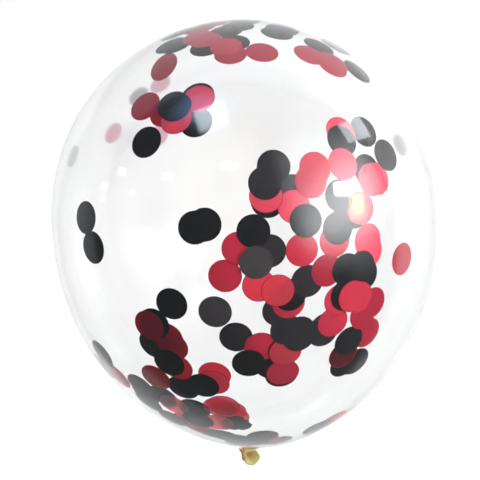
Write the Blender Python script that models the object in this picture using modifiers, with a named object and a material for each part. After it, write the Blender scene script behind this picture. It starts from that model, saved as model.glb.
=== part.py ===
"""Confetti balloon: a round party balloon of clear latex, tied off in its own neck.

The balloon is one dipped film of latex from the crown to the rolled lip, so it is one solid.
It is sealed, so the solid is full. It lies on its side: the crown points to +Y, the knot to -Y,
and a small flat spot, where the film gives under it, rests on the plane z = 0. The film swelled
a little unevenly, so the neck leaves the blunt end to one side of the body's long axis.
"""

import math

import bpy
from mathutils import Vector

# Driving dimensions, in metres
BODY_RADIUS = 0.150  # the widest ring of the inflated body
CROWN_LENGTH = 0.1534  # from the widest ring to the top of the crown
LOWER_LENGTH = 0.1882  # from the widest ring to where the egg-shaped lower half would close
FLAT_WIDTH = 0.044  # the spot that the balloon lies on, across the body
THROAT_RADIUS = 0.012  # where the body turns into the neck
NECK_RADIUS = 0.0040
NECK_LENGTH = 0.0029
NECK_SIDE_STEP = 0.0135  # from the body's long axis to the neck
SIDE_STEP_REACH = 0.040  # the radius out to which the blunt end is drawn along with the neck
KNOT_RING_RADIUS = 0.0040  # centre line of one turn of the knot
KNOT_STRAND_RADIUS = 0.0024
KNOT_TURN_SPACING = 0.0029
KNOT_OFFSET = 0.0016  # from the neck's centre line to the knot's
TAIL_ROOT_RADIUS = 0.0026
TAIL_LENGTH = 0.0089  # from the knot's middle to the mouth's plane
LIP_RING_RADIUS = 0.0064  # centre line of the rolled lip
LIP_BEAD_RADIUS = 0.0008
MOUTH_DEPTH = 0.0030  # how far the tied mouth is dished in

# Angles, in degrees
KNOT_TILT = 24.0  # each turn of the knot leans against the next one
TAIL_LIFT = 85.0  # the tail stands up from the balloon's axis
TAIL_TURN = 9.0  # and turns to one side

# Shape of the lower half: radius = BODY_RADIUS * (1 - t ** FULLNESS) ** TAPER
FULLNESS = 2.27
TAPER = 0.618

KNOT_TURNS = 3

# Facets
TURN_STEPS = 60
CROWN_RINGS = 18
LOWER_RINGS = 24
SMALL_TURN_STEPS = 24
FILLET_STEPS = 5
FLARE_STEPS = 5
BEAD_STEPS = 6
STRAND_SIDES = 12


def flat_depth():
    """How far the flat spot cuts into the widest ring."""
    return BODY_RADIUS - math.sqrt(BODY_RADIUS**2 - (FLAT_WIDTH / 2) ** 2)


def throat_share():
    """The share of LOWER_LENGTH at which the lower half has come in to THROAT_RADIUS."""
    return (1 - (THROAT_RADIUS / BODY_RADIUS) ** (1 / TAPER)) ** (1 / FULLNESS)


def throat_height():
    return -LOWER_LENGTH * throat_share()


def knot_height(turn=0):
    """The centre of one turn of the knot: the first one sits right under the neck."""
    first = throat_height() - NECK_LENGTH - KNOT_STRAND_RADIUS
    return first - turn * KNOT_TURN_SPACING


def tail_root_height():
    """The tail leaves from the middle of the knot."""
    return knot_height((KNOT_TURNS - 1) / 2)


def tail_direction():
    """From the knot to the mouth, in world axes."""
    lift, turn = math.radians(TAIL_LIFT), math.radians(TAIL_TURN)
    level = Vector((math.sin(turn), -math.cos(turn) * math.cos(lift), 0))
    return level + Vector((0, 0, math.cos(turn) * math.sin(lift)))


def tail_reach():
    """The lowest height along the balloon's axis: the far edge of the tilted lip."""
    along = -tail_direction().y
    edge = LIP_RING_RADIUS * math.sqrt(1 - along**2) + LIP_BEAD_RADIUS
    return tail_root_height() - TAIL_LENGTH * along - edge


def quarter(steps):
    """The angles of a quarter turn, its ends included."""
    return [math.radians(90 * i / steps) for i in range(steps + 1)]


def crown_outline():
    """Half an ellipse, from the top of the crown down to the widest ring."""
    return [
        (BODY_RADIUS * math.sin(a), CROWN_LENGTH * math.cos(a))
        for a in quarter(CROWN_RINGS)
    ]


def lower_outline():
    """The egg-shaped lower half, from under the widest ring down to the throat."""
    last = math.asin(throat_share())
    points = []
    for i in range(1, LOWER_RINGS + 1):
        t = math.sin(last * i / LOWER_RINGS)
        points.append((BODY_RADIUS * (1 - t**FULLNESS) ** TAPER, -LOWER_LENGTH * t))
    return points


def neck_outline():
    """A concave quarter from the throat in to the neck, which ends inside the knot."""
    step_in = THROAT_RADIUS - NECK_RADIUS
    points = [
        (
            THROAT_RADIUS - step_in * math.sin(a),
            throat_height() - NECK_LENGTH * (1 - math.cos(a)),
        )
        for a in quarter(FILLET_STEPS)[1:]
    ]
    end = knot_height(KNOT_TURNS - 1)
    return points + [(NECK_RADIUS, end), (0, end)]


def tail_outline():
    """A trumpet from the knot to the rolled lip, then back over the dished mouth."""
    rim = LIP_RING_RADIUS - LIP_BEAD_RADIUS / 2
    points = [(0, 0)] + [
        (
            TAIL_ROOT_RADIUS + (rim - TAIL_ROOT_RADIUS) * (1 - math.cos(a)),
            (LIP_BEAD_RADIUS - TAIL_LENGTH) * math.sin(a),
        )
        for a in quarter(FLARE_STEPS)
    ]
    for i in range(1, BEAD_STEPS):
        a = math.radians(90 - 180 * i / BEAD_STEPS)
        points.append(
            (
                LIP_RING_RADIUS + LIP_BEAD_RADIUS * math.cos(a),
                -TAIL_LENGTH + LIP_BEAD_RADIUS * math.sin(a),
            )
        )
    points.append((rim, -TAIL_LENGTH - LIP_BEAD_RADIUS))
    points.append((0, -TAIL_LENGTH + MOUTH_DEPTH))
    return points


def collection_named(name, hidden=False):
    made = bpy.data.collections.new(name)
    made.hide_render = hidden
    bpy.context.scene.collection.children.link(made)
    return made


def turned(name, outline, steps, collection):
    """A profile in the XZ plane, turned round Z."""
    mesh = bpy.data.meshes.new(name)
    edges = [(i, i + 1) for i in range(len(outline) - 1)]
    mesh.from_pydata([(radius, 0, height) for radius, height in outline], edges, [])
    obj = bpy.data.objects.new(name, mesh)
    collection.objects.link(obj)
    screw = obj.modifiers.new("Turn", "SCREW")
    screw.axis = "Z"
    screw.steps = steps
    screw.render_steps = steps
    screw.use_merge_vertices = True
    screw.merge_threshold = 0.00001
    screw.use_smooth_shade = True
    return obj


def side_step(radius):
    """How far a ring of this radius, in the lower half, is drawn sideways with the neck."""
    share = (radius - THROAT_RADIUS) / (SIDE_STEP_REACH - THROAT_RADIUS)
    share = min(max(share, 0), 1)
    return NECK_SIDE_STEP * (1 - share * share * (3 - 2 * share))


def draw_neck_aside(body):
    """Fixes the turned body as a mesh and shifts its blunt end to one side."""
    graph = bpy.context.evaluated_depsgraph_get()
    mesh = bpy.data.meshes.new_from_object(body.evaluated_get(graph))
    for vertex in mesh.vertices:
        if vertex.co.z < 0:
            vertex.co.x -= side_step(vertex.co.xy.length)
    body.modifiers.clear()
    body.data = mesh


def as_tool(obj, name, tools):
    """A shape that only a Boolean uses."""
    obj.name = name
    for owner in list(obj.users_collection):
        owner.objects.unlink(obj)
    tools.objects.link(obj)
    obj.hide_render = True
    obj.display_type = "WIRE"
    return obj


def boolean(target, label, operation, tool):
    modifier = target.modifiers.new(label, "BOOLEAN")
    modifier.operation = operation
    modifier.solver = "EXACT"
    modifier.object = tool


def knot_turn(index, body, tools):
    """One turn of the knot: a small ring round the neck that leans to its own side."""
    bpy.ops.mesh.primitive_torus_add(
        major_radius=KNOT_RING_RADIUS,
        minor_radius=KNOT_STRAND_RADIUS,
        major_segments=SMALL_TURN_STEPS,
        minor_segments=STRAND_SIDES,
    )
    ring = as_tool(bpy.context.object, f"knot_turn_{index}", tools)
    side = 1 if index % 2 else -1
    ring.parent = body
    ring.location = (-NECK_SIDE_STEP - KNOT_OFFSET, 0, knot_height(index))
    ring.rotation_euler = (math.radians(side * KNOT_TILT), math.radians(KNOT_TILT / 2), 0)
    return ring


def tail_piece(body, tools):
    """The free end of the neck, flared out to the rolled lip."""
    tail = as_tool(turned("tail", tail_outline(), SMALL_TURN_STEPS, tools), "tail", tools)
    tail.parent = body
    tail.location = (-NECK_SIDE_STEP - KNOT_OFFSET, 0, tail_root_height())
    in_body_axes = body.rotation_euler.to_matrix().inverted() @ tail_direction()
    tail.rotation_euler = in_body_axes.to_track_quat("-Z", "Y").to_euler()
    return tail


def floor_cutter(tools):
    """A block under z = 0 that leaves the flat spot."""
    side = 3 * (CROWN_LENGTH + LOWER_LENGTH)
    bpy.ops.mesh.primitive_cube_add(size=side, location=(0, 0, -side / 2))
    return as_tool(bpy.context.object, "floor_cutter", tools)


def clear_latex():
    material = bpy.data.materials.new("clear_latex")
    material.use_nodes = True
    shader = material.node_tree.nodes["Principled BSDF"]
    shader.inputs["Base Color"].default_value = (0.95, 0.95, 0.93, 1)
    shader.inputs["Metallic"].default_value = 0
    shader.inputs["Roughness"].default_value = 0.12
    shader.inputs["IOR"].default_value = 1.5
    shader.inputs["Transmission Weight"].default_value = 1
    return material


def main():
    for obj in list(bpy.data.objects):
        bpy.data.objects.remove(obj)
    parts = collection_named("confetti_balloon")
    tools = collection_named("shaping_tools", hidden=True)

    outline = crown_outline() + lower_outline() + neck_outline()
    balloon = turned("balloon", outline, TURN_STEPS, parts)
    draw_neck_aside(balloon)
    balloon.data.materials.append(clear_latex())
    middle = (CROWN_LENGTH + tail_reach()) / 2
    balloon.location = (0, -middle, BODY_RADIUS - flat_depth())
    balloon.rotation_euler = (math.radians(-90), 0, 0)

    for index in range(KNOT_TURNS):
        turn = knot_turn(index, balloon, tools)
        boolean(balloon, f"Knot turn {index}", "UNION", turn)
    boolean(balloon, "Tail", "UNION", tail_piece(balloon, tools))
    boolean(balloon, "Flat spot", "DIFFERENCE", floor_cutter(tools))


main()
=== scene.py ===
# %% [markdown]
# # A confetti balloon, lying on its side
#
# A clear latex party balloon, blown up to about 30 cm and tied off in its own neck. Inside it,
# round pieces of red and black tissue paper, 25 mm across, cling to the wall wherever static
# holds them. The solid model gives the balloon's outer form. Here it is taken apart into what
# it is made of: a thin film with air inside, a knot, the free end of the neck, and the paper.

import math
import random

import bmesh
import bpy
from mathutils import Matrix, Vector


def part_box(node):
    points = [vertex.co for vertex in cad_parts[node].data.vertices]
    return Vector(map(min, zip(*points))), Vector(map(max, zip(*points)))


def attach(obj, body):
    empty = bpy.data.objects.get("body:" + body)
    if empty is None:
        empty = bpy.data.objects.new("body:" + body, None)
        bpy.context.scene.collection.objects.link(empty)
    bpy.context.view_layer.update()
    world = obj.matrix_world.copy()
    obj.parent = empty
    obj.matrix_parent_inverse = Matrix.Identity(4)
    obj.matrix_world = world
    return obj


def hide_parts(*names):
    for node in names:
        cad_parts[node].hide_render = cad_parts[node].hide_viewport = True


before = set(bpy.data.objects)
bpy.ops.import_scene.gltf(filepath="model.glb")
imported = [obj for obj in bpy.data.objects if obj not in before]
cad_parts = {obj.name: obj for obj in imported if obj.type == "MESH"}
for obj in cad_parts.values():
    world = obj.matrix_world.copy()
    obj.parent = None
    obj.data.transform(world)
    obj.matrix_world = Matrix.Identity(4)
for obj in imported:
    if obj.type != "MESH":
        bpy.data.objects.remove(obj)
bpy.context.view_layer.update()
low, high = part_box("balloon")
size = high - low
print(f"balloon: {size.x * 1000:.1f} x {size.y * 1000:.1f} x {size.z * 1000:.1f} mm")

# %% [markdown]
# ## Sizes of the balloon
#
# The film is a figure of revolution round an axis that lies along Y. The widest ring is the
# origin of every length here: `s` is measured from it, towards the crown when positive and
# towards the knot when negative. The names and values are those of the solid model.

# %% Sizes of the balloon
BODY_RADIUS = 0.150
CROWN_LENGTH = 0.1534
LOWER_LENGTH = 0.1882
FULLNESS = 2.27
TAPER = 0.618
THROAT_RADIUS = 0.012
NECK_RADIUS = 0.0040
NECK_LENGTH = 0.0029
NECK_SIDE_STEP = 0.0135
SIDE_STEP_REACH = 0.040
KNOT_RING_RADIUS = 0.0040
KNOT_STRAND_RADIUS = 0.0024
KNOT_TURN_SPACING = 0.0029
KNOT_OFFSET = 0.0016
KNOT_TILT = 24.0
TAIL_ROOT_RADIUS = 0.0026
TAIL_LENGTH = 0.0089
LIP_RING_RADIUS = 0.0064
LIP_BEAD_RADIUS = 0.0008
TAIL_LIFT = 85.0
TAIL_TURN = 9.0

FILM = 0.00015  # the wall, a little thicker than the real 0.1 mm
WIDEST_Y = high.y - CROWN_LENGTH
AXIS_HEIGHT = high.z - BODY_RADIUS
THROAT = -LOWER_LENGTH * (1 - (THROAT_RADIUS / BODY_RADIUS) ** (1 / TAPER)) ** (1 / FULLNESS)
FIRST_TURN = THROAT - NECK_LENGTH - KNOT_STRAND_RADIUS
KNOT_X = -NECK_SIDE_STEP - KNOT_OFFSET
print(f"widest ring at y = {WIDEST_Y * 1000:.1f} mm, axis {AXIS_HEIGHT * 1000:.1f} mm up")

# %% [markdown]
# ## Making a piece
#
# Every piece is a bmesh that becomes an object at the origin, rides on the balloon's one body,
# takes the materials that it is given, and is shaded smooth.


# %% Making a piece
def new_piece(name, bm, materials):
    """Writes a bmesh as an object that belongs to the balloon."""
    mesh = bpy.data.meshes.new(name)
    bm.to_mesh(mesh)
    bm.free()
    mesh.polygons.foreach_set("use_smooth", [True] * len(mesh.polygons))
    piece = bpy.data.objects.new(name, mesh)
    bpy.context.scene.collection.objects.link(piece)
    for material in materials:
        mesh.materials.append(material)
    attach(piece, "root")
    print(f"{name}: {len(mesh.polygons)} faces")
    return piece


def place(x, s, up):
    """From the balloon's own axes to the world: across, along from the widest ring, up."""
    return Vector((x, WIDEST_Y + s, AXIS_HEIGHT + up))


def eased(share):
    """0 to 1 with a soft start and end."""
    share = min(max(share, 0.0), 1.0)
    return share * share * (3 - 2 * share)


# %% [markdown]
# ## Turning an outline
#
# The film, the knot's turns and the free end of the neck are round, so each begins as an
# outline in a plane that is spun once round an axis, as clay is on a potter's wheel. Points
# that meet on the axis are welded into one.

# %% Turning an outline
WELD = 0.000005


def quarter(steps):
    """The angles of a quarter turn, its ends included."""
    return [math.radians(90) * i / steps for i in range(steps + 1)]


def spin_once(bm, verts, edges, axis, steps):
    """Spins part of a mesh once round an axis through the origin."""
    bmesh.ops.spin(
        bm,
        geom=verts + edges,
        axis=axis,
        cent=(0, 0, 0),
        steps=steps,
        angle=math.radians(360),
        use_merge=True,
    )


def spun_outline(points, axis, steps):
    """A mesh from an open outline."""
    bm = bmesh.new()
    verts = [bm.verts.new(point) for point in points]
    edges = [bm.edges.new(pair) for pair in zip(verts, verts[1:])]
    spin_once(bm, verts, edges, axis, steps)
    bmesh.ops.remove_doubles(bm, verts=bm.verts[:], dist=WELD)
    bmesh.ops.recalc_face_normals(bm, faces=bm.faces[:])
    return bm


print(f"points closer than {WELD * 1000:.3f} mm are welded")

# %% [markdown]
# ## Shader building blocks
#
# Each of these small helpers adds the nodes for one thought and hands back their output, so
# that a material further down reads like a recipe.


# %% Shader building blocks
def map_range(tree, value, start, end, low=0.0, high=1.0, kind="SMOOTHSTEP"):
    """A value carried from one range to another."""
    node = tree.nodes.new("ShaderNodeMapRange")
    node.interpolation_type = kind
    node.inputs["From Min"].default_value = start
    node.inputs["From Max"].default_value = end
    node.inputs["To Min"].default_value = low
    node.inputs["To Max"].default_value = high
    tree.links.new(value, node.inputs["Value"])
    return node.outputs["Result"]


def mixed(tree, share, first, second):
    """A colour between an output and a second one, which may be a plain tone."""
    mix = tree.nodes.new("ShaderNodeMix")
    mix.data_type = "RGBA"
    tree.links.new(share, mix.inputs["Factor"])
    tree.links.new(first, mix.inputs["A"])
    if isinstance(second, tuple):
        mix.inputs["B"].default_value = (*second, 1)
    else:
        tree.links.new(second, mix.inputs["B"])
    return mix.outputs["Result"]


def object_axes(tree):
    """X, Y and Z of the shaded point."""
    where = tree.nodes.new("ShaderNodeTexCoord")
    split = tree.nodes.new("ShaderNodeSeparateXYZ")
    tree.links.new(where.outputs["Object"], split.inputs["Vector"])
    return split.outputs


def distance_to(tree, point):
    """How far the shaded point is from a place on the thing."""
    where = tree.nodes.new("ShaderNodeTexCoord")
    away = tree.nodes.new("ShaderNodeVectorMath")
    away.operation = "DISTANCE"
    away.inputs[1].default_value = point
    tree.links.new(where.outputs["Object"], away.inputs[0])
    return away.outputs["Value"]


# %% [markdown]
# ## Two shared effects
#
# Two effects come back in every material, so each is a node group with named inputs: a slow,
# uneven drift between two tones, as paper fibre and dipped latex have, and a fine unevenness
# of the surface. Both use Object coordinates, so they belong to the thing itself.

# %% Two shared effects
NOISE_DETAIL = 3
NOISE_SPREAD = (0.35, 0.65)  # the part of the noise that runs from one tone to the other


def new_group(name, inputs, output):
    """An empty node group. Returns it, its input node and the socket of its result."""
    group = bpy.data.node_groups.new(name, "ShaderNodeTree")
    for label, kind in inputs.items():
        group.interface.new_socket(label, in_out="INPUT", socket_type=kind)
    label, kind = output
    group.interface.new_socket(label, in_out="OUTPUT", socket_type=kind)
    given = group.nodes.new("NodeGroupInput")
    return group, given, group.nodes.new("NodeGroupOutput").inputs[label]


def drift_group():
    """A colour that wanders between two tones."""
    inputs = {"Tone A": "NodeSocketColor", "Tone B": "NodeSocketColor"}
    inputs |= {"Scale": "NodeSocketFloat", "Detail": "NodeSocketFloat"}
    group, given, result = new_group("tone_drift", inputs, ("Color", "NodeSocketColor"))
    where = group.nodes.new("ShaderNodeTexCoord")
    noise = group.nodes.new("ShaderNodeTexNoise")
    group.links.new(where.outputs["Object"], noise.inputs["Vector"])
    group.links.new(given.outputs["Scale"], noise.inputs["Scale"])
    group.links.new(given.outputs["Detail"], noise.inputs["Detail"])
    share = map_range(group, noise.outputs["Fac"], *NOISE_SPREAD, kind="LINEAR")
    tones = mixed(group, share, given.outputs["Tone A"], given.outputs["Tone B"])
    group.links.new(tones, result)
    return group


def uneven_group():
    """A slightly uneven surface, as a normal."""
    inputs = dict.fromkeys(("Scale", "Strength", "Height"), "NodeSocketFloat")
    group, given, result = new_group("uneven_surface", inputs, ("Normal", "NodeSocketVector"))
    where = group.nodes.new("ShaderNodeTexCoord")
    noise = group.nodes.new("ShaderNodeTexNoise")
    noise.inputs["Detail"].default_value = NOISE_DETAIL
    bump = group.nodes.new("ShaderNodeBump")
    group.links.new(where.outputs["Object"], noise.inputs["Vector"])
    group.links.new(given.outputs["Scale"], noise.inputs["Scale"])
    group.links.new(noise.outputs["Fac"], bump.inputs["Height"])
    group.links.new(given.outputs["Strength"], bump.inputs["Strength"])
    group.links.new(given.outputs["Height"], bump.inputs["Distance"])
    group.links.new(bump.outputs["Normal"], result)
    return group


TONE_DRIFT = drift_group()
UNEVEN_SURFACE = uneven_group()
print(f"node groups: {TONE_DRIFT.name}, {UNEVEN_SURFACE.name}")

# %% [markdown]
# ## A material to start from
#
# Every finish here is a Principled shader with both effects on it. What sets it apart, such as
# its roughness or its glow, is added to what this helper returns.


# %% A material to start from
def new_material(name, scale, tones, strength, height):
    """A Principled material with both effects. Returns it, its tree, shader and tone."""
    material = bpy.data.materials.new(name)
    material.use_nodes = True
    tree = material.node_tree
    shader = tree.nodes["Principled BSDF"]
    drift = tree.nodes.new("ShaderNodeGroup")
    drift.node_tree = TONE_DRIFT
    drift.inputs["Tone A"].default_value = (*tones[0], 1)
    drift.inputs["Tone B"].default_value = (*tones[1], 1)
    drift.inputs["Scale"].default_value = scale
    drift.inputs["Detail"].default_value = NOISE_DETAIL
    tree.links.new(drift.outputs["Color"], shader.inputs["Base Color"])
    uneven = tree.nodes.new("ShaderNodeGroup")
    uneven.node_tree = UNEVEN_SURFACE
    uneven.inputs["Scale"].default_value = scale
    uneven.inputs["Strength"].default_value = strength
    uneven.inputs["Height"].default_value = height
    tree.links.new(uneven.outputs["Normal"], shader.inputs["Normal"])
    return material, tree, shader, drift.outputs["Color"]


# %% [markdown]
# ## The film
#
# A balloon is made by dipping a form in liquid latex, so it is one skin that is thickest at
# the neck and at the crown. Blown up, the skin is about a tenth of a millimetre. It is drawn
# as the half outline, outside and inside. The film swelled a little unevenly, so the blunt end
# is drawn to one side.

# %% The outline of the film
CROWN_RINGS = 44
LOWER_RINGS = 56
FILLET_STEPS = 8


def ring_radius(s):
    """Radius of the film's outside at a distance from the widest ring."""
    if s >= 0:
        return BODY_RADIUS * math.sqrt(max(1 - (s / CROWN_LENGTH) ** 2, 0))
    t = min(-s / LOWER_LENGTH, 1)
    return BODY_RADIUS * max(1 - t**FULLNESS, 0) ** TAPER


def ring_aside(s, radius):
    """How far a ring is drawn sideways with the neck."""
    if s >= 0:
        return 0.0
    share = (radius - THROAT_RADIUS) / (SIDE_STEP_REACH - THROAT_RADIUS)
    return NECK_SIDE_STEP * (1 - eased(share))


def film_outline():
    """(radius, s) from the pole of the crown to the end of the neck, inside the knot."""
    points = []
    for a in quarter(CROWN_RINGS):
        points.append((BODY_RADIUS * math.sin(a), CROWN_LENGTH * math.cos(a)))
    last = math.asin(-THROAT / LOWER_LENGTH)
    for i in range(1, LOWER_RINGS + 1):
        s = -LOWER_LENGTH * math.sin(last * i / LOWER_RINGS)
        points.append((ring_radius(s), s))
    for a in quarter(FILLET_STEPS)[1:]:
        radius = THROAT_RADIUS - (THROAT_RADIUS - NECK_RADIUS) * math.sin(a)
        points.append((radius, THROAT - NECK_LENGTH * (1 - math.cos(a))))
    points.append((NECK_RADIUS, FIRST_TURN))
    return points


def inner_wall(outline):
    """The same outline, set in by the thickness of the film."""
    points = [(0.0, outline[0][1] - FILM)]
    for before, here, after in zip(outline, outline[1:], outline[2:] + [None]):
        after = after or here
        along = Vector((after[0] - before[0], after[1] - before[1])).normalized()
        points.append((here[0] + along.y * FILM, here[1] - along.x * FILM))
    return points


print(f"throat {-THROAT * 1000:.1f} mm from the widest ring, {len(film_outline())} rings")

# %% [markdown]
# The outline is spun once round the axis. Shallow pleats run out of the gathered neck, and
# where the balloon lies on the table its film is pressed flat.

# %% The skin
FILM_STEPS = 128
PLEATS = 14
PLEAT_SHIFT = 0.6  # so that the pleats aren't evenly spaced
PLEAT_DEPTH = 0.0006
PLEAT_REACH = 0.034  # radius at which the last pleat has faded out


def pleat(radius, angle):
    """How far a pleat moves the film along the axis."""
    fade = 1 - eased((radius - THROAT_RADIUS) / (PLEAT_REACH - THROAT_RADIUS))
    gathered = fade * eased((radius - NECK_RADIUS) / (THROAT_RADIUS - NECK_RADIUS))
    wave = math.cos(PLEATS * angle + PLEAT_SHIFT * math.sin(3 * angle))
    return PLEAT_DEPTH * gathered * wave


def film_mesh():
    """The spun film with its pleats, in world places."""
    outside = film_outline()
    outline = outside + inner_wall(outside)[::-1]
    bm = spun_outline([(radius, s, 0) for radius, s in outline], (0, 1, 0), FILM_STEPS)
    for vert in bm.verts:
        x, s, up = vert.co
        radius = math.hypot(x, up)
        if s < 0:  # the crown's half has no pleats
            s += pleat(radius, math.atan2(up, x))
        vert.co = place(x - ring_aside(s, radius), s, up)
        if vert.co.z < FILM * 2:
            inside = radius < ring_radius(s) - FILM / 2
            vert.co.z = max(vert.co.z, FILM if inside else 0)
    return bm


# %% [markdown]
# Clear latex lets nearly all light through and blurs what lies far behind it, so paper that
# touches the film is crisp and paper on the far wall is a soft spot. The film gets warmer and
# denser towards the neck, where it is stretched least.

# %% Clear latex
HAZE = 0.06
NECK_HAZE = 0.15
NECK_TONE = (0.94, 0.89, 0.74)
NECK_WARMTH = (-0.1612, -0.166)  # along Y: none at the first place, full at the second

latex, tree, shader, tone = new_material(
    "clear_latex_film", 14, ((0.905, 0.905, 0.903), (0.885, 0.885, 0.883)), 0.05, 0.0004
)
shader.inputs["Metallic"].default_value = 0
shader.inputs["Transmission Weight"].default_value = 1
shader.inputs["IOR"].default_value = 1.45
warmth = map_range(tree, object_axes(tree)["Y"], *NECK_WARMTH)
haze = map_range(tree, warmth, 0, 1, HAZE, NECK_HAZE, "LINEAR")
tree.links.new(mixed(tree, warmth, tone, NECK_TONE), shader.inputs["Base Color"])
tree.links.new(haze, shader.inputs["Roughness"])

film = new_piece("balloon_film", film_mesh(), [latex])
film.visible_shadow = False  # a film this clear casts hardly any
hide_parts("balloon")

# %% [markdown]
# ## The knot
#
# The neck is stretched, wound round two fingers and pulled through itself. What shows is a
# few turns of slack, thick latex that lean against one another. Each turn is a ring with an
# uneven strand, flattened a little along the neck.

# %% The knot
KNOT_TURNS = 3
TURN_STEPS = 40
STRAND_SIDES = 14
STRAND_FLATNESS = 0.86
SWELL, RIPPLE = 0.06, 0.03  # unevenness of the strand, in long and in short waves


def add_knot_turn(bm, index):
    """One turn of the knot: a ring round the neck that leans to its own side."""
    verts = []
    for i in range(STRAND_SIDES):
        a = math.radians(360) * i / STRAND_SIDES
        radius = KNOT_RING_RADIUS + KNOT_STRAND_RADIUS * math.cos(a)
        height = KNOT_STRAND_RADIUS * STRAND_FLATNESS * math.sin(a)
        verts.append(bm.verts.new((radius, height, 0)))
    edges = [bm.edges.new(pair) for pair in zip(verts, verts[1:] + verts[:1])]
    before = set(bm.verts) - set(verts)
    spin_once(bm, verts, edges, (0, 1, 0), TURN_STEPS)
    side = 1 if index % 2 else -1
    tilt = Matrix.Rotation(math.radians(-side * KNOT_TILT), 3, "X")
    lean = Matrix.Rotation(math.radians(KNOT_TILT / 2), 3, "Z")
    centre = place(KNOT_X, FIRST_TURN - index * KNOT_TURN_SPACING, 0)
    for vert in set(bm.verts) - before:
        angle = math.atan2(vert.co.z, vert.co.x)
        swell = 1 + SWELL * math.sin(3 * angle + 2 * index) + RIPPLE * math.sin(7 * angle)
        core = Vector((math.cos(angle), 0, math.sin(angle))) * KNOT_RING_RADIUS
        local = core + (vert.co - core) * swell
        vert.co = centre + lean @ tilt @ local


def knot_mesh():
    """All turns of the knot, in world places."""
    bm = bmesh.new()
    for index in range(KNOT_TURNS):
        add_knot_turn(bm, index)
    bmesh.ops.recalc_face_normals(bm, faces=bm.faces[:])
    return bm


print(f"knot: {KNOT_TURNS} turns, {KNOT_TURN_SPACING * 1000:.1f} mm apart")

# %% [markdown]
# ## The free end of the neck
#
# Below the knot the neck opens like a small trumpet, and its mouth ends in the rolled bead
# that every balloon has. Tying has pulled one side of the lip in against the knot.

# %% The free end of the neck
TAIL_STEPS = 72
FLARE_STEPS = 12
BEAD_STEPS = 12
BEAD_TURN = 200  # degrees that the bead goes round, back into the mouth
TAIL_WALL = 0.0004
MOUTH_DEPTH = 0.0046
FOLD_ANGLE = 172.0  # where the lip is pulled in, round the mouth
FOLD_WIDTH = 22.0
FOLD_DEPTH = 0.42
FOLD_DROP = 0.6  # how much of the pull also shortens that side
WAVE_HEIGHT, WAVES, WAVE_START = 0.035, 5, 40  # the lip is never quite round
DRAWN_ASIDE = Vector((-0.0052, -0.0044, 0))  # from the mouth to the root, by tying


def tail_direction():
    """From the knot to the mouth, in world axes."""
    lift, turn = math.radians(TAIL_LIFT), math.radians(TAIL_TURN)
    level = -math.cos(turn) * math.cos(lift)
    return Vector((math.sin(turn), level, math.cos(turn) * math.sin(lift)))


def tail_outline():
    """(radius, height) from the knot out to the bead and back into the mouth."""
    rim = LIP_RING_RADIUS - LIP_BEAD_RADIUS / 2
    flare = []
    for a in quarter(FLARE_STEPS):
        radius = TAIL_ROOT_RADIUS + (rim - TAIL_ROOT_RADIUS) * (1 - math.cos(a))
        flare.append((radius, (LIP_BEAD_RADIUS - TAIL_LENGTH) * math.sin(a)))
    points = [(0, 0)] + flare
    for i in range(1, BEAD_STEPS):
        a = math.radians(90 - BEAD_TURN * i / BEAD_STEPS)
        radius = LIP_RING_RADIUS + LIP_BEAD_RADIUS * math.cos(a)
        points.append((radius, -TAIL_LENGTH + LIP_BEAD_RADIUS * math.sin(a)))
    for radius, height in flare[-2:0:-1]:
        if height < MOUTH_DEPTH - TAIL_LENGTH:
            points.append((radius - TAIL_WALL, height - TAIL_WALL))
    points.append((0, MOUTH_DEPTH - TAIL_LENGTH))
    return points


def tail_mesh():
    """The spun end with its side pulled in, turned to where it points."""
    outline = [(radius, 0, height) for radius, height in tail_outline()]
    bm = spun_outline(outline, (0, 0, 1), TAIL_STEPS)
    down = -tail_direction()
    across = Vector((1, 0, 0)) - down * down.x
    across.normalize()
    turn = Matrix((across, down.cross(across), down)).transposed()
    root = place(KNOT_X, FIRST_TURN - (KNOT_TURNS - 1) / 2 * KNOT_TURN_SPACING, 0)
    for vert in bm.verts:
        x, y, z = vert.co
        angle = math.degrees(math.atan2(y, x)) % 360
        out = eased(-z / TAIL_LENGTH)
        off = (angle - FOLD_ANGLE + 180) % 360 - 180
        pull = FOLD_DEPTH * math.exp(-((off / FOLD_WIDTH) ** 2)) * out
        wave = WAVE_HEIGHT * out * math.sin(math.radians(WAVES * angle + WAVE_START))
        grow = 1 - pull + wave
        shape = Vector((x * grow, y * grow, z * (1 - FOLD_DROP * pull)))
        vert.co = root + turn @ (shape + DRAWN_ASIDE * (1 - out))
    return bm


print(f"mouth: {(LIP_RING_RADIUS + LIP_BEAD_RADIUS) * 2000:.1f} mm across")

# %% [markdown]
# Slack latex is not clear: it is the colour of weak honey. It glows when light comes from
# behind, so more than half of its look is light that passes through it. The sheet of the free
# end is thicker, and so more like amber, near its root in the knot.

# %% Slack latex
SLACK_GLOW = 0.60
LIP_GLOW = 0.65
AMBER = (0.92, 0.62, 0.20)
AMBER_REACH = (0.0096, 0.0040)  # from the root: none at the first distance, full at the second
ROOT_SHIFT = Vector((-0.0033, 0.0011, 0))  # to the middle of the thick part of the sheet


def add_glow(tree, shader, tone, share):
    """Mixes in light that comes through the piece from behind."""
    through = tree.nodes.new("ShaderNodeBsdfTranslucent")
    mix = tree.nodes.new("ShaderNodeMixShader")
    mix.inputs["Fac"].default_value = share
    output = tree.nodes["Material Output"]
    tree.links.new(tone, through.inputs["Color"])
    tree.links.new(shader.outputs["BSDF"], mix.inputs[1])
    tree.links.new(through.outputs["BSDF"], mix.inputs[2])
    tree.links.new(mix.outputs["Shader"], output.inputs["Surface"])


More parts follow.
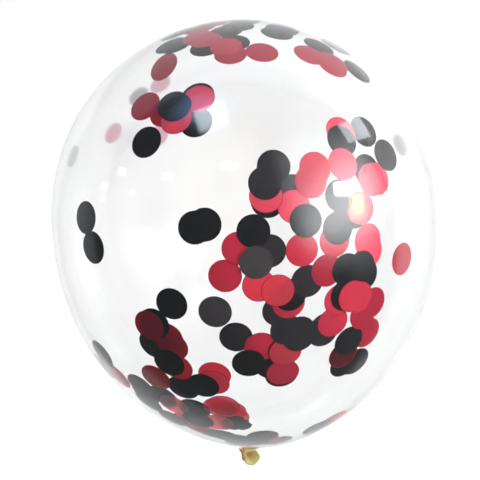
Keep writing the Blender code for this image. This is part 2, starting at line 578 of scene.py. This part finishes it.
slack, tree, shader, tone = new_material(
    "slack_latex", 260, ((0.90, 0.78, 0.34), (0.93, 0.66, 0.28)), 0.2, 0.0003
)
shader.inputs["Roughness"].default_value = 0.32
shader.inputs["IOR"].default_value = 1.5
add_glow(tree, shader, tone, SLACK_GLOW)

lip_latex, tree, shader, tone = new_material(
    "lip_latex", 200, ((0.80, 0.79, 0.44), (0.84, 0.76, 0.48)), 0.12, 0.0003
)
shader.inputs["Roughness"].default_value = 0.35
shader.inputs["IOR"].default_value = 1.5
thick_part = place(KNOT_X, FIRST_TURN - KNOT_TURN_SPACING, 0) + ROOT_SHIFT
thickness = map_range(tree, distance_to(tree, thick_part), *AMBER_REACH)
honey = mixed(tree, thickness, tone, AMBER)
tree.links.new(honey, shader.inputs["Base Color"])
add_glow(tree, shader, honey, LIP_GLOW)

new_piece("balloon_knot", knot_mesh(), [slack])
new_piece("balloon_lip", tail_mesh(), [lip_latex])

# %% [markdown]
# ## The camera
#
# The balloon lies on its side and the camera looks down on it, a little from the crown. The
# camera comes before the paper, because where each disc clings was read from the photograph,
# as a point of the picture, and is traced back through the camera to the film.

# %% The camera
PICTURE = 480  # pixels, both ways
LENS = 211.8  # mm, as is the next one
SENSOR = 36
CAMERA_DISTANCE = 2.2
CAMERA_TILT = math.radians(15)
CAMERA_ROLL = math.radians(-5.9)
AIM_RIGHT, AIM_UP = -0.00270, -0.01893  # from the widest ring's centre to the picture's centre

to_camera = Vector((0, math.sin(CAMERA_TILT), math.cos(CAMERA_TILT)))
level_right = Vector((1, 0, 0))
level_up = to_camera.cross(level_right)
cam_right = level_right * math.cos(CAMERA_ROLL) + level_up * math.sin(CAMERA_ROLL)
cam_up = level_up * math.cos(CAMERA_ROLL) - level_right * math.sin(CAMERA_ROLL)
eye = place(0, 0, 0) + to_camera * CAMERA_DISTANCE
aim = place(0, 0, 0) + cam_right * AIM_RIGHT + cam_up * AIM_UP

view_back = (eye - aim).normalized()
view_right = cam_up.cross(view_back).normalized()
view_up = view_back.cross(view_right)
camera_data = bpy.data.cameras.new("camera")
camera_data.lens = LENS
camera_data.sensor_width = SENSOR
camera_data.clip_end = 50
camera = bpy.data.objects.new("camera", camera_data)
turn = Matrix((view_right, view_up, view_back)).transposed().to_4x4()
camera.matrix_world = Matrix.Translation(eye) @ turn
bpy.context.scene.collection.objects.link(camera)
bpy.context.scene.camera = camera


def sight_line(px, py):
    """The direction from the eye through a point of the picture."""
    focal = PICTURE * LENS / SENSOR
    half = PICTURE / 2
    line = view_right * ((px - half) / focal) - view_up * ((py - half) / focal) - view_back
    return line.normalized()


print(f"camera {CAMERA_DISTANCE} m from the widest ring's centre")

# %% [markdown]
# ## Finding the wall
#
# A disc's middle is found where the line of sight meets the film, on the near side or the far
# side. Near the outline the line only grazes the film, and then the closest point counts.


# %% Finding the wall
PROBE = 0.0004  # how far to each side the slope of the wall is felt
DROP_ROUNDS = 5
SEARCH_STEP, SEARCH_STEPS = 0.001, 230  # along the line of sight, to each side of the middle
HALVINGS = 24


def off_wall(p):
    """Distance outside the film, roughly, at a world point."""
    s, up = p.y - WIDEST_Y, p.z - AXIS_HEIGHT
    if s >= 0:
        share = math.hypot(math.hypot(p.x, up) / BODY_RADIUS, s / CROWN_LENGTH)
        return (share - 1) * BODY_RADIUS
    radius = ring_radius(max(s, THROAT))
    return math.hypot(p.x + ring_aside(s, radius), up) - radius


def wall_normal(p):
    """Straight out of the film at a point on it."""
    slopes = []
    for axis in range(3):
        ahead, behind = p.copy(), p.copy()
        ahead[axis] += PROBE
        behind[axis] -= PROBE
        slopes.append(off_wall(ahead) - off_wall(behind))
    return Vector(slopes).normalized()


def drop_on_wall(p, depth=0.0):
    """The point next to p that lies at a depth under the film's outside."""
    for _ in range(DROP_ROUNDS):
        out = wall_normal(p)
        slope = (off_wall(p + out * PROBE) - off_wall(p - out * PROBE)) / (2 * PROBE)
        # where the slope is weak, the step is kept short
        p = p - out * ((off_wall(p) + depth * slope) / max(slope, 0.5))
    return p


def meet_wall(px, py, far=False, depth=0.0):
    """Where the line of sight through a point of the picture meets the film."""
    line = sight_line(px, py)
    steps = range(-SEARCH_STEPS, SEARCH_STEPS + 1)
    reach = [CAMERA_DISTANCE + SEARCH_STEP * i for i in steps]
    if far:
        reach.reverse()
    heights = [off_wall(eye + line * t) + depth for t in reach]
    for before, after, t0, t1 in zip(heights, heights[1:], reach, reach[1:]):
        if before > 0 >= after:
            for _ in range(HALVINGS):
                middle = (t0 + t1) / 2
                if off_wall(eye + line * middle) + depth > 0:
                    t0 = middle
                else:
                    t1 = middle
            return drop_on_wall(eye + line * t1, depth)
    closest = min(range(len(reach)), key=lambda i: heights[i])
    return drop_on_wall(eye + line * reach[closest], depth)


seen = meet_wall(PICTURE / 2, PICTURE / 2)
print(f"the picture's middle shows the film at {seen.x:.3f} {seen.y:.3f} {seen.z:.3f} m")

# %% [markdown]
# ## Paper on the wall
#
# A disc of tissue clings to the film, so it bends with it. Where discs overlap, each lies one
# step further in than the ones that lie between it and the film, so no two touch. A disc has
# an outer and an inner side, a little apart, and a rim that closes them.

# %% A disc of paper
DISC_RADIUS = 0.0125
FAR_RADIUS = 0.0092
PAPER = 0.00008
FIRST_GAP = 0.00030  # from the film's outside to the first layer, film included
LAYER_GAP = 0.00016
DISC_SIDES = 28
INNER_RINGS = (0.36, 0.66)  # shares of the radius
# the darker cut edge: partly denser crushed paper, partly painted shade where discs overlap
SHADED_CUT_EDGE = 0.96  # share of the radius at which the darker cut edge begins


def layer_depth(layer):
    """How deep under the film's outside a layer of paper lies."""
    return FIRST_GAP + layer * LAYER_GAP


def disc_points(middle, out, spin, radius, tear=0.0):
    """A flat disc as rings of points: its middle, three rings and the rim."""
    side = out.cross(Vector((0.3, 1, 0.2))).normalized()
    other = out.cross(side)
    turns = [spin + math.radians(360) * i / DISC_SIDES for i in range(DISC_SIDES)]
    spokes = [side * math.cos(a) + other * math.sin(a) for a in turns]
    rings = [[middle]]
    for share in INNER_RINGS:
        rings.append([middle + spoke * radius * share for spoke in spokes])
    # two waves out of step make the tears uneven
    kept = [1 - tear * max(math.sin(4 * a) * math.sin(7 * a + 1), 0) for a in turns]
    for share in (SHADED_CUT_EDGE, 1.0):
        ring = [middle + spoke * radius * share * k for spoke, k in zip(spokes, kept)]
        rings.append(ring)
    return rings


def add_sheets(bm, sheets, shades):
    """The outer and the inner side of a disc, as a dense fan each, and the rim."""
    shade, edge_shade = shades
    faces_of = [[[bm.verts.new(point) for point in ring] for ring in sheet] for sheet in sheets]
    for rings, flip in zip(faces_of, (False, True)):
        for i in range(DISC_SIDES):
            j = (i + 1) % DISC_SIDES
            fan = [rings[0][0], rings[1][i], rings[1][j]]
            bm.faces.new(fan[::-1] if flip else fan).material_index = shade
            for inner, outer in zip(rings[1:], rings[2:]):
                quad = [inner[i], outer[i], outer[j], inner[j]]
                face = bm.faces.new(quad[::-1] if flip else quad)
                face.material_index = edge_shade if outer is rings[-1] else shade
    outer_rim, inner_rim = faces_of[0][-1], faces_of[1][-1]
    for i in range(DISC_SIDES):
        j = (i + 1) % DISC_SIDES
        rim = bm.faces.new([outer_rim[j], outer_rim[i], inner_rim[i], inner_rim[j]])
        rim.material_index = edge_shade
        for edge in rim.edges:
            edge.smooth = False  # a cut edge is sharp, so the flat sides aren't shaded round


print(f"a disc: {DISC_RADIUS * 2000:.0f} mm across, {PAPER * 1000:.2f} mm thick")

# %% [markdown]
# Most discs cling and are bent to the film. One is held only by an edge and stays flat.

# %% Adding a disc
STANDING_AXIS = 49.0  # degrees from level, the long way of its outline in the picture
STANDING_RATIO = 0.63  # the outline's short way over its long way
STANDING_LAYER = 5  # it stays clear of the layers above this one
STANDING_STEP = 0.0002


def add_disc(bm, middle, layer, spin, radius, shades, tear):
    """A disc that clings: bent to the film, at the depth of its layer."""
    flat = disc_points(middle, wall_normal(middle), spin, radius, tear)
    depth = layer_depth(layer)
    sheets = [
        [[drop_on_wall(point, inset) for point in ring] for ring in flat]
        for inset in (depth, depth + PAPER)
    ]
    add_sheets(bm, sheets, shades)


def add_standing_disc(bm, px, py, shades):
    """A flat disc held by an edge: pushed along the line of sight until all of it is inside."""
    line = sight_line(px, py)
    tilt, axis = math.acos(STANDING_RATIO), math.radians(STANDING_AXIS)
    leaning = view_up * math.cos(axis) - view_right * math.sin(axis)
    out = leaning * math.sin(tilt) + view_back * math.cos(tilt)
    middle = meet_wall(px, py)
    while True:
        rings = disc_points(middle, out, 0, DISC_RADIUS)
        if max(off_wall(point) for point in rings[-1]) < -layer_depth(STANDING_LAYER):
            break
        middle = middle + line * STANDING_STEP
    under = [[point - out * PAPER for point in ring] for ring in rings]
    add_sheets(bm, [rings, under], shades)


# %% [markdown]
# ## Where the discs cling
#
# Each list is one cluster. A row is the paper and the disc's middle in the picture, in pixels
# from the top left. The papers are vivid, light, bright, middle, deep and darkest red, `V`,
# `L`, `S`, `R`, `C` and `M`, plain, thin and dusty black, `B`, `T` and `D`, and the single
# plies, pink `P`, grey `G` and paler `H`. The reds are chosen disc by disc partly as painted
# light and shade: `L` brightens discs that get little light, and `M` darkens one that lies in
# shade. The plies' paleness is partly painted veil. Within a list the discs nearest to the film
# come first, and what follows lies under them.

# %% Where the discs cling
CROWN_LEFT = [
    ("C", 262, 52), ("R", 226, 46), ("C", 230.5, 54), ("R", 205, 39.5), ("R", 197.5, 37),
    ("B", 244.6, 21), ("B", 238, 26), ("B", 226, 31), ("B", 233.5, 42.5), ("B", 206, 47.3),
    ("B", 170.5, 45), ("B", 176.5, 45), ("C", 199, 29), ("C", 212, 24), ("B", 176, 34),
]
CROWN_RIGHT = [
    ("B", 277, 33), ("B", 281.5, 29.4), ("B", 283.5, 28.5), ("B", 336, 46.5),
    ("C", 309.5, 54.5), ("C", 332.5, 66), ("C", 333.5, 62), ("B", 319, 46), ("B", 357.3, 71),
]
UPPER_LEFT = [
    ("T", 172.8, 105), ("T", 175.5, 107), ("S", 176, 119), ("C", 165, 112),
    ("S", 198.3, 98.6), ("B", 197.8, 96), ("B", 196, 122), ("C", 145, 106), ("B", 146.2, 142),
]
LEFT_PAIR = [("B", 85.5, 217.6), ("B", 93, 247.6)]
CENTRE_PAIR = [("B", 204.7, 224.6), ("B", 194.3, 227.7)]
RIGHT_UPPER = [
    ("T", 273.8, 166), ("T", 265, 183), ("R", 315.3, 168), ("R", 311, 181.6),
    ("S", 266, 196), ("B", 306, 220.7), ("S", 294, 206.5), ("B", 267.6, 201),
    ("D", 292.5, 191), ("S", 343, 164), ("B", 342, 140.5), ("S", 341, 132),
    ("B", 363.7, 131.3), ("B", 386, 155), ("S", 371.5, 179.5), ("S", 376.8, 178.5),
    ("B", 367, 170.3), ("B", 340, 196), ("S", 360.5, 208), ("B", 338, 228), ("B", 354, 212),
    ("R", 334.8, 240.5), ("C", 402.2, 259),
]
RIGHT_MIDDLE = [
    ("D", 256, 262.6), ("B", 253.4, 231.2), ("T", 269.5, 251), ("R", 302, 250),
    ("R", 238.4, 248.6), ("R", 225, 276), ("V", 278, 290.7), ("V", 259, 285.7),
    ("R", 353, 296.5), ("R", 359, 297.5), ("C", 372.5, 303), ("B", 361.7, 267),
    ("B", 346.8, 269.7), ("B", 364.5, 274.5), ("S", 369.5, 251), ("S", 368, 240),
    ("C", 327, 270.5),
    ("T", 307.3, 281.2), ("B", 290, 295), ("R", 288.6, 302.8), ("T", 279, 311),
]
RIGHT_LOWER = [
    ("C", 363.5, 314), ("B", 345.3, 294.7), ("R", 339.2, 300),
    ("R", 333, 322), ("B", 349, 341), ("T", 325, 328), ("T", 323, 332),
    ("C", 367, 333), ("M", 343.5, 354.6), ("B", 344.7, 364.3), ("B", 355.7, 362),
]
MIDDLE_LOW = [
    ("T", 299.5, 331.5), ("T", 299, 337), ("T", 286.7, 330), ("V", 285.5, 352),
    ("B", 248.6, 363.4), ("B", 284.5, 351), ("R", 261, 347), ("R", 283, 373),
    ("B", 281.8, 375.2), ("B", 272, 366), ("T", 236, 337.4), ("D", 215, 312),
]
LOWER_LIMB = [
    ("B", 262.5, 436.5), ("B", 253, 442.5), ("B", 241, 443.5), ("R", 265.5, 441),
    ("B", 277, 441.5), ("B", 235.3, 439.5), ("B", 222, 436), ("R", 211, 433.5),
    ("B", 172.5, 418.5),
]
LOWER_LEFT = [
    ("B", 171.5, 304), ("C", 149, 325.7), ("B", 154.2, 323.5), ("B", 169, 363),
    ("C", 167.5, 337.5), ("C", 172.5, 346.5), ("T", 153.5, 344.3), ("R", 177, 367.5),
    ("C", 155.7, 377.6), ("B", 203, 386), ("B", 183, 388), ("S", 213.2, 383),
    ("V", 214.5, 375), ("B", 140.5, 386), ("B", 148.5, 402), ("B", 145, 394), ("B", 198, 420),
    ("L", 218, 423), ("B", 236, 424), ("L", 223, 406), ("L", 219, 408), ("L", 173.5, 405),
    ("B", 194.5, 409), ("L", 230, 411), ("L", 233, 417), ("S", 187, 421.5), ("R", 200, 430),
    ("B", 163, 396.5),
]
OUTLINE = [
    ("B", 102, 354), ("B", 103, 366), ("R", 118.2, 376.2), ("B", 317.5, 427.6), ("R", 333, 419.6),
    ("B", 345.5, 415.4),
]
NEAR_WALL = (
    CROWN_LEFT, CROWN_RIGHT, UPPER_LEFT, LEFT_PAIR, CENTRE_PAIR, RIGHT_UPPER, RIGHT_MIDDLE,
    RIGHT_LOWER, MIDDLE_LOW, LOWER_LIMB, LOWER_LEFT, OUTLINE,
)
TORN = {(236, 424): 0.28}  # how much of the radius the tears take
STANDING = ("C", 164, 67)
FAR_WALL = [
    ("G", 138.5, 96), ("P", 160, 84), ("P", 113, 133), ("H", 72.5, 156), ("P", 158, 135.5),
    ("G", 400, 145),
]
print(f"{sum(map(len, NEAR_WALL))} discs on the near wall, {len(FAR_WALL)} on the far wall")

# %% [markdown]
# A disc goes into the red or the black mesh, a layer below those that cover it. Its paper is a
# number in that mesh's list of materials, and most reds have a second number for the darker cut
# edge, which is partly painted shade for the shadow lines where discs overlap.

# %% Laying the discs
RED_CODES, BLACK_CODES = "VLSRCMEP", "BTDGH"
EDGED_CODES = "VLSRCM"  # the papers whose darker cut edge, `E`, partly painted shade, shows
SEED = 7  # of the discs' turns


def shades_of(paper):
    """Material numbers of a paper and of its darker, partly painted-shade cut edge."""
    codes = RED_CODES if paper in RED_CODES else BLACK_CODES
    number = codes.index(paper)
    return number, codes.index("E") if paper in EDGED_CODES else number


def lay_discs():
    """The red and the black mesh with all their discs."""
    red, black = bmesh.new(), bmesh.new()
    laid = []
    rng = random.Random(SEED)
    rows = [(row, False) for cluster in NEAR_WALL for row in cluster]
    rows += [(row, True) for row in FAR_WALL]
    for (paper, px, py), far in rows:
        middle = meet_wall(px, py, far)
        layer = 0
        for other, other_layer in laid:
            if (other - middle).length < 2 * DISC_RADIUS:
                layer = max(layer, other_layer + 1)
        middle = meet_wall(px, py, far, layer_depth(layer))
        laid.append((middle, layer))
        bm = red if paper in RED_CODES else black
        radius = FAR_RADIUS if far else DISC_RADIUS
        tear = TORN.get((px, py), 0)
        add_disc(bm, middle, layer, rng.uniform(0, 1), radius, shades_of(paper), tear)
    paper, px, py = STANDING
    add_standing_disc(red, px, py, shades_of(paper))
    deepest = max(layer for _, layer in laid)
    print(f"{len(laid) + 1} discs, {deepest + 1} layers at most")
    return red, black


# %% [markdown]
# ## Tissue paper
#
# Tissue paper is thin enough for the white room behind it to shine through: the red turns
# bright over white and dark where a black disc lies behind it. That is why each paper mixes
# a matt surface with light from behind. The six reds are partly the uneven dye of the punched
# sheets and partly painted light and shade: lighter and darker copies of one red, picked disc
# by disc for how lit or shaded each one looks. The cut edge is darker, partly because punching
# crushed it denser and partly as painted shade for the thin shadow lines where discs overlap.
# On the far wall single plies have stuck, which are paler; the paleness is partly painted
# veil, for the haze of the film in front of them.


# %% Tissue paper
def tissue(name, tones, through):
    """A sheet of dyed tissue: its two tones, and the share of light that passes through."""
    material, tree, shader, tone = new_material(name, 900, tones, 0.12, 0.0001)
    shader.inputs["Roughness"].default_value = 0.75
    shader.inputs["Specular IOR Level"].default_value = 0.15
    add_glow(tree, shader, tone, through)
    return material


# lighter and darker copies of one red, picked disc by disc partly as painted light and shade
RED_SHADES = {
    "V": tissue("red_tissue_vivid", ((0.95, 0.115, 0.175), (0.91, 0.096, 0.150)), 0.64),
    # painted light: a lighter copy of the red for the low discs at the left, which get little
    # light
    "L": tissue("red_tissue_painted_light", ((0.98, 0.300, 0.400), (0.96, 0.270, 0.370)), 0.80),
    "S": tissue("red_tissue_bright", ((0.97, 0.118, 0.195), (0.91, 0.092, 0.160)), 0.46),
    "R": tissue("red_tissue_middle", ((0.80, 0.058, 0.120), (0.74, 0.046, 0.100)), 0.54),
    "C": tissue("red_tissue_deep", ((0.60, 0.032, 0.076), (0.53, 0.026, 0.064)), 0.55),
    # painted shade: a darker copy of the red for one disc that lies in shade
    "M": tissue("red_tissue_painted_shade", ((0.15, 0.016, 0.030), (0.13, 0.014, 0.026)), 0.50),
    # partly painted shade: the darker cut edge also stands in for the shadow lines where discs
    # overlap
    "E": tissue("red_tissue_cut_edge_and_shadow_line", ((0.56, 0.036, 0.075), (0.50, 0.030, 0.066)), 0.45),
    # partly painted veil: the single ply on the far wall is also paler for the film's haze before
    # it
    "P": tissue("red_tissue_single_ply_and_veil", ((0.96, 0.76, 0.81), (0.94, 0.72, 0.78)), 0.80),
}
BLACK_SHADES = {
    "B": tissue("black_tissue", ((0.008, 0.008, 0.010), (0.013, 0.012, 0.014)), 0.25),
    "T": tissue("black_tissue_thin", ((0.038, 0.034, 0.038), (0.030, 0.027, 0.031)), 0.30),
    "D": tissue("black_tissue_dusty", ((0.078, 0.067, 0.070), (0.054, 0.049, 0.054)), 0.12),
    # partly painted veil: these plies on the far wall are also paler for the film's haze before
    # them
    "G": tissue("black_tissue_single_ply_and_veil", ((0.76, 0.76, 0.76), (0.70, 0.70, 0.70)), 0.80),
    "H": tissue("black_tissue_ply_and_veil", ((0.92, 0.92, 0.92), (0.89, 0.89, 0.89)), 0.85),
}

red_paper, black_paper = lay_discs()
new_piece("confetti_red", red_paper, list(RED_SHADES.values()))
new_piece("confetti_black", black_paper, list(BLACK_SHADES.values()))

# %% [markdown]
# ## The table
#
# The balloon lies on a white table that glows, as a light table does, so that the background
# is clean white and the paper is lit from behind.

# %% The table
FLOOR_SIZE = 12.0
FLOOR_GAP = 0.0004  # the film and the table would otherwise share one plane

floor_mesh = bpy.data.meshes.new("floor")
bm = bmesh.new()
bmesh.ops.create_grid(bm, x_segments=1, y_segments=1, size=FLOOR_SIZE / 2)
bmesh.ops.translate(bm, verts=bm.verts[:], vec=(0, 0, -FLOOR_GAP))
bm.to_mesh(floor_mesh)
bm.free()
floor = bpy.data.objects.new("floor", floor_mesh)
bpy.context.scene.collection.objects.link(floor)
floor_white, tree, shader, tone = new_material(
    "floor_white", 3, ((0.80, 0.80, 0.80), (0.82, 0.82, 0.82)), 0.0, 0.001
)
shader.inputs["Roughness"].default_value = 0.8
shader.inputs["Emission Color"].default_value = (1, 1, 1, 1)
floor_mesh.materials.append(floor_white)
print(f"table: {FLOOR_SIZE:.0f} m wide, {FLOOR_GAP * 1000:.1f} mm under the balloon")

# %% [markdown]
# Past the lit part the glow is weaker, most of all at the crown's end, so the balloon's limb
# mirrors something darker. The glow is evened out, as a photographer does with small screens
# called flags and dots: less of it under the lamps and where the far wall mirrors them, more
# of it on the side away from them. Each fade is a share, and the glow is their product.

# %% The glow of the table
TABLE_GLOW = 0.50
OUTER_GLOW = 0.20  # the white table around the lit part
TABLE_MIDDLE = -0.02  # of the lit part, across the balloon
TABLE_SIDES = (0.228, 0.275)  # lit fully out to the first distance, gone at the second
TABLE_CROWN_END = (0.165, 0.21)
CROWN_END_GLOW = 0.12
TABLE_KNOT_END = (-0.23, -0.29)
OUTER_REACH = (1.2, 1.7)
DOTS = [(160, 218), (160, 246), (160, 276)]  # points of the picture, as the next two places
DOT_REACH = (0.040, 0.002)
DOT_GLOW = 0.50  # the share of the glow that a dot leaves
SIDE_AT = (0, 330)
SIDE_REACH = (0.36, 0.06)
SIDE_GLOW = 1.30  # the side that the lamps reach least glows a little more
LAMPS_AT = (440, 190)
LAMPS_REACH = (0.22, 0.07)
LAMPS_GLOW = 0.80  # and the side under the lamps a little less


def faded(tree, value, full, gone, low=0.0):
    """1 up to `full`, easing to `low` at `gone`."""
    return map_range(tree, value, full, gone, 1, low)


def product(tree, values):
    """All the values multiplied."""
    total = values[0]
    for value in values[1:]:
        times = tree.nodes.new("ShaderNodeMath")
        times.operation = "MULTIPLY"
        tree.links.new(total, times.inputs[0])
        tree.links.new(value, times.inputs[1])
        total = times.outputs["Value"]
    return total


def from_sight(tree, px, py):
    """How far the shaded point is from where the line of sight meets the table."""
    line = sight_line(px, py)
    return distance_to(tree, eye + line * ((-FLOOR_GAP - eye.z) / line.z))


axes = object_axes(tree)
across = tree.nodes.new("ShaderNodeMath")
across.operation = "SUBTRACT"
across.inputs[1].default_value = TABLE_MIDDLE
beside = tree.nodes.new("ShaderNodeMath")
beside.operation = "ABSOLUTE"
tree.links.new(axes["X"], across.inputs[0])
tree.links.new(across.outputs["Value"], beside.inputs[0])
lit_part = product(tree, [
    faded(tree, beside.outputs["Value"], *TABLE_SIDES),
    faded(tree, axes["Y"], *TABLE_KNOT_END),
])
from_side = from_sight(tree, *SIDE_AT)
glow = product(tree, [
    map_range(tree, lit_part, 0, 1, OUTER_GLOW, TABLE_GLOW, "LINEAR"),
    faded(tree, axes["Y"], *TABLE_CROWN_END, CROWN_END_GLOW),
    faded(tree, from_side, *OUTER_REACH),
    faded(tree, from_side, *SIDE_REACH, SIDE_GLOW),
    faded(tree, from_sight(tree, *LAMPS_AT), *LAMPS_REACH, LAMPS_GLOW),
    *[faded(tree, from_sight(tree, *dot), *DOT_REACH, DOT_GLOW) for dot in DOTS],
])
tree.links.new(glow, shader.inputs["Emission Strength"])
print(f"{floor_white.name}: {len(tree.nodes)} nodes")

# %% [markdown]
# ## The room
#
# The room is dim and a little cool, so the film mirrors hardly anything of it.

# %% The room
COOL = (0.90, 0.95, 1.0)
ROOM_GLOW = 0.18

world = bpy.data.worlds.new("studio")
world.use_nodes = True
room = world.node_tree.nodes["Background"]
room.inputs["Color"].default_value = (*COOL, 1)
room.inputs["Strength"].default_value = ROOM_GLOW
bpy.context.scene.world = world
print(f"{world.name}: strength {ROOM_GLOW}")

# %% [markdown]
# ## A soft lamp
#
# A photographer moves a lamp until its reflection sits well. Here the film is asked where it
# sends the line of sight at a point of the picture, and the lamp is put there. A lamp behind
# cloth is weaker near its edges, so the glow of most lamps fades out towards them.


# %% A soft lamp
def soft_edges(data, share):
    """Fades a rectangular lamp out over a share of its width, at all four edges."""
    data.use_nodes = True
    tree = data.node_tree
    emission = tree.nodes["Emission"]
    on_lamp = tree.nodes.new("ShaderNodeNewGeometry")
    split = tree.nodes.new("ShaderNodeSeparateXYZ")
    tree.links.new(on_lamp.outputs["Parametric"], split.inputs["Vector"])
    fades = []
    for axis in "XY":
        fold = tree.nodes.new("ShaderNodeMath")
        fold.operation = "PINGPONG"
        fold.inputs[1].default_value = 0.5  # the middle, so both edges count as 0
        tree.links.new(split.outputs[axis], fold.inputs[0])
        fades.append(faded(tree, fold.outputs["Value"], share, 0))
    tree.links.new(product(tree, fades), emission.inputs["Strength"])


def mirrored_in_film(px, py):
    """A point of the film, and where it sends the line of sight."""
    point = meet_wall(px, py)
    line = sight_line(px, py)
    out = wall_normal(point)
    return point, line - out * (2 * line.dot(out))


def add_lamp(name, px, py, distance, width, height, radiance, spin, tint, edge):
    """A rectangular lamp that the film mirrors at a point of the picture."""
    point, towards = mirrored_in_film(px, py)
    data = bpy.data.lights.new(name, "AREA")
    data.shape = "RECTANGLE"
    data.size = width
    data.size_y = height
    data.color = tint
    data.energy = radiance * math.pi * width * height
    if edge:
        soft_edges(data, edge)
    lamp = bpy.data.objects.new(name, data)
    aside = towards.cross(cam_up).normalized()
    upward = aside.cross(towards)
    facing = Matrix((aside, upward, -towards)).transposed().to_4x4()
    # a lamp shines along its own -Z, so its back is turned to the balloon's outward line
    facing = Matrix.Rotation(math.radians(180), 4, upward) @ facing
    facing = Matrix.Rotation(math.radians(spin), 4, towards) @ facing
    lamp.matrix_world = Matrix.Translation(point + towards * distance) @ facing
    bpy.context.scene.collection.objects.link(lamp)
    print(f"{name}: {lamp.location.x:.2f} {lamp.location.y:.2f} {lamp.location.z:.2f} m")


# %% [markdown]
# ## The lamps
#
# One very large soft light stands at the right: the film mirrors it as a veil over that side.
# The smaller lamps make the highlights: a window at the left with blue sky round it, the
# bright heart of the lamps at the right with a warm patch, a white card close to the film,
# and a few bulbs. Each is read from the photograph, as a point of the picture.

# %% The lamps
WHITE = (1.0, 1.0, 1.0)
PALE = (0.92, 0.95, 1.0)
SKY = (0.25, 0.52, 1.0)
WARM = (1.0, 0.78, 0.25)

# name, point of the picture, distance, width, height, radiance, spin, tint, soft share
LAMPS = [
    ("big_softbox", 336, 188, 1.6, 2.7, 2.7, 1.8, 0, PALE, 0.30),
    ("halo", 343.5, 204, 1.55, 2.5, 1.65, 6.6, 30, WHITE, 0.50),
    ("window_patch", 343, 188.5, 1.4, 0.32, 0.19, 12.0, 0, WHITE, 0),
    ("warm_lamp", 357.5, 204.5, 1.4, 0.42, 0.48, 9.0, 0, WARM, 0.40),
    ("left_window", 210.5, 117, 1.5, 0.52, 0.50, 7.5, 34, COOL, 0.20),
    ("sky_glow", 203, 109, 1.5, 1.25, 0.85, 2.9, 0, SKY, 0.50),
    ("right_card", 354.5, 129.5, 0.6, 0.235, 0.125, 5.5, -7, COOL, 0.08),
]
for lamp in LAMPS:
    add_lamp(*lamp)

BULB_DISTANCE, BULB_GLOW, BULB_EDGE = 1.5, 4.0, 0.25
# points of the picture, and the bulbs' widths and heights
BULBS = [
    (229.5, 165.5, 0.32, 0.15), (167, 176.5, 0.23, 0.12), (122, 171.5, 0.20, 0.12),
    (104.5, 186, 0.15, 0.09), (132, 193, 0.12, 0.07), (102, 199, 0.09, 0.05),
]
for index, (px, py, width, height) in enumerate(BULBS):
    spot = (px, py, BULB_DISTANCE, width, height, BULB_GLOW)
    add_lamp(f"bulb_{index}", *spot, 0, WHITE, BULB_EDGE)

# %% [markdown]
# ## Finishing
#
# The tones are kept as they are, so that the white table stays white.

# %% The look of the picture
scene = bpy.context.scene
scene.view_settings.view_transform = "Standard"
scene.view_settings.look = "None"
print(f"view: {scene.view_settings.view_transform}")
